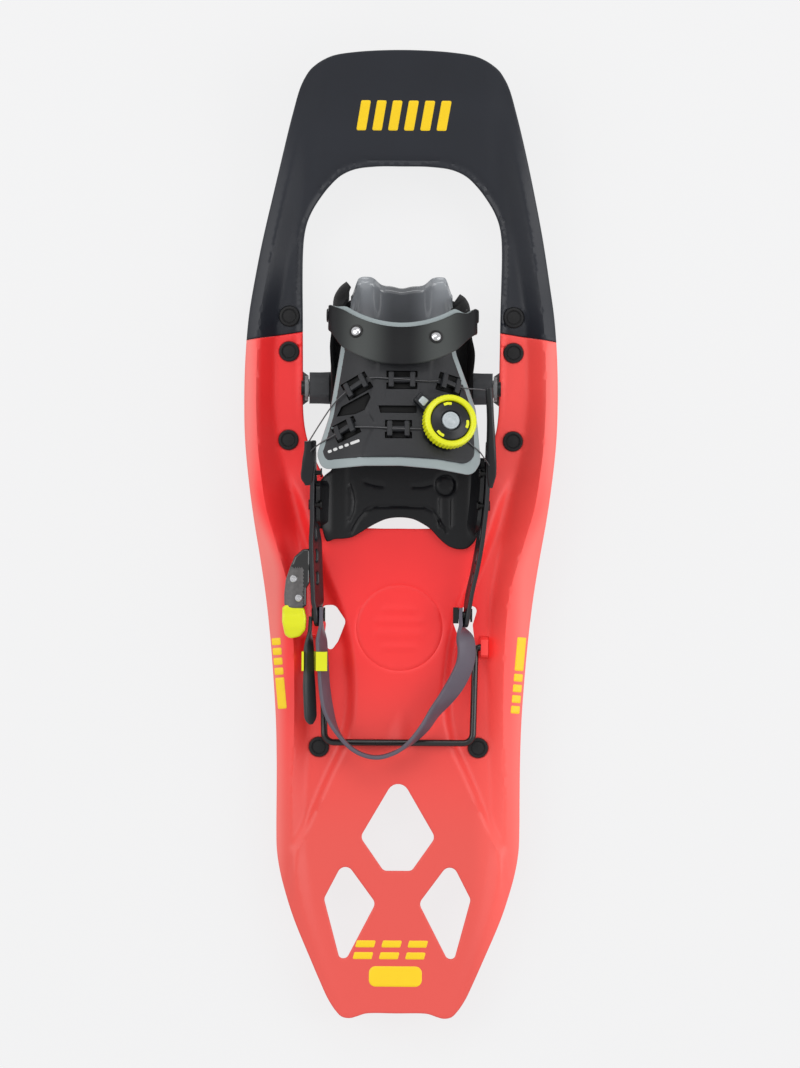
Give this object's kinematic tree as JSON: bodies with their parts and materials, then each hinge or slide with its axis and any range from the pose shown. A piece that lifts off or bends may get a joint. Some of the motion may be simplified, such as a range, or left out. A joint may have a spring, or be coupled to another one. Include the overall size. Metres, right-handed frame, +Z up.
{
  "type": "snowshoe",
  "caption": "Narrow moulded snowshoe with hinged binding, dial-closed instep harness, heel strap, heel lift, toothed side rails and toe and heel crampons.",
  "frame": {"origin": "on the ground, under the middle of the outline", "axes": "+X to the right across the shoe, +Y from the tail to the nose, +Z up from the snow; the tooth tips stand on z = 0"},
  "size_m": [0.1974, 0.6098, 0.1083],
  "materials": {
    "deck_red": "satin moulded",
    "nose_black": "satin black moulded",
    "rail_steel": "powder coat",
    "crampon_steel": "bare heat-treated steel",
    "black_hardware": "black coat",
    "bright_steel": "polished",
    "wire_black": "black coat",
    "cord_rubber": "reinforced elastomer",
    "platform_black": "fine texture",
    "cup_grey": "gloss",
    "harness_black": "soft-touch with fine weave",
    "trim_grey": "smooth",
    "strap_black": "smooth",
    "accent_lime": "gloss",
    "dial_black": "fine texture",
    "hub_grey": "satin",
    "cable_steel": "bright wire",
    "washer_black": "smooth"
  },
  "bodies": {
    "deck": {"tail_deck": "deck_red", "nose_deck": "nose_black", "traction_rail_left": "rail_steel", "traction_rail_right": "rail_steel", "deck_rivets": "black_hardware", "rivet_washers": "washer_black", "heel_crampon": "crampon_steel", "toe_cord_pins": "crampon_steel", "lift_brackets": "strap_black", "lift_bracket_screws": "crampon_steel"},
    "heel_lift": {"heel_lift_bail": "wire_black"},
    "binding": {"toe_cord": "cord_rubber", "pivot_washers": "washer_black", "toe_crampon": "crampon_steel", "foot_platform": "platform_black", "platform_rivets": "crampon_steel", "toe_cup": "cup_grey", "wing_left": "harness_black", "wing_right": "harness_black", "wing_rivets": "black_hardware", "heel_arm_left": "platform_black", "heel_arm_right": "platform_black", "arm_rivets": "black_hardware", "lace_guide_left": "dial_black", "lace_guide_right": "dial_black", "buckle_body": "dial_black", "buckle_pin": "bright_steel", "buckle_screws": "bright_steel", "harness_pivot_rivets": "black_hardware"},
    "harness": {"toe_strap": "harness_black", "instep_underlay": "trim_grey", "instep_overlay": "harness_black", "toe_strap_studs": "bright_steel", "lace_bridges": "dial_black", "dial_housing": "dial_black", "lace": "cable_steel"},
    "spool": {"lace_spool": "dial_black"},
    "dial_core": {"dial_button": "hub_grey"},
    "dial": {"dial_grip": "accent_lime", "dial_cap": "dial_black"},
    "tab": {"buckle_lever": "accent_lime"},
    "strap": {"heel_strap": "strap_black", "strap_tail": "strap_black", "strap_keeper": "accent_lime", "strap_posts": "black_hardware"}
  },
  "joints": [
    {"name": "binding_pivot", "type": "hinge", "parent": "deck", "child": "binding", "pos_m": [0, 0.0915, 0.0285], "axis": [-1, 0, 0], "range_deg": [0, 65]},
    {"name": "heel_lift_pivot", "type": "hinge", "parent": "deck", "child": "heel_lift", "pos_m": [0, -0.071, 0.0275], "axis": [-1, 0, 0], "range_deg": [0, 95]},
    {"name": "heel_strap_swing", "type": "hinge", "parent": "binding", "child": "strap", "pos_m": [0, -0.0507, 0.0425], "axis": [-1, 0, 0], "range_deg": [0, 95]},
    {"name": "harness_open", "type": "hinge", "parent": "binding", "child": "harness", "pos_m": [0, 0.136, 0.057], "axis": [-1, 0, 0], "range_deg": [0, 20]},
    {"name": "dial_pull", "type": "slide", "parent": "harness", "child": "dial_core", "axis": [0.225, 0.2192, 0.9494], "range_m": [0, 0.0025]},
    {"name": "dial_spin", "type": "hinge", "parent": "dial_core", "child": "dial", "pos_m": [0.0282, 0.0676, 0.09211], "axis": [0.225, 0.2192, 0.9494], "continuous": true},
    {"name": "spool_spin", "type": "hinge", "parent": "harness", "child": "spool", "pos_m": [0.0282, 0.0676, 0.09211], "axis": [0.225, 0.2192, 0.9494], "continuous": true},
    {"name": "buckle_tab_release", "type": "hinge", "parent": "binding", "child": "tab", "pos_m": [-0.065, -0.041, 0.044], "axis": [0, 0, -1], "range_deg": [0, 50]}
  ],
  "couplings": [
    {"joint": "spool_spin", "follows": "dial_spin", "ratio": 1},
    {"joint": "heel_strap_swing", "follows": "heel_lift_pivot", "ratio": 1}
  ]
}
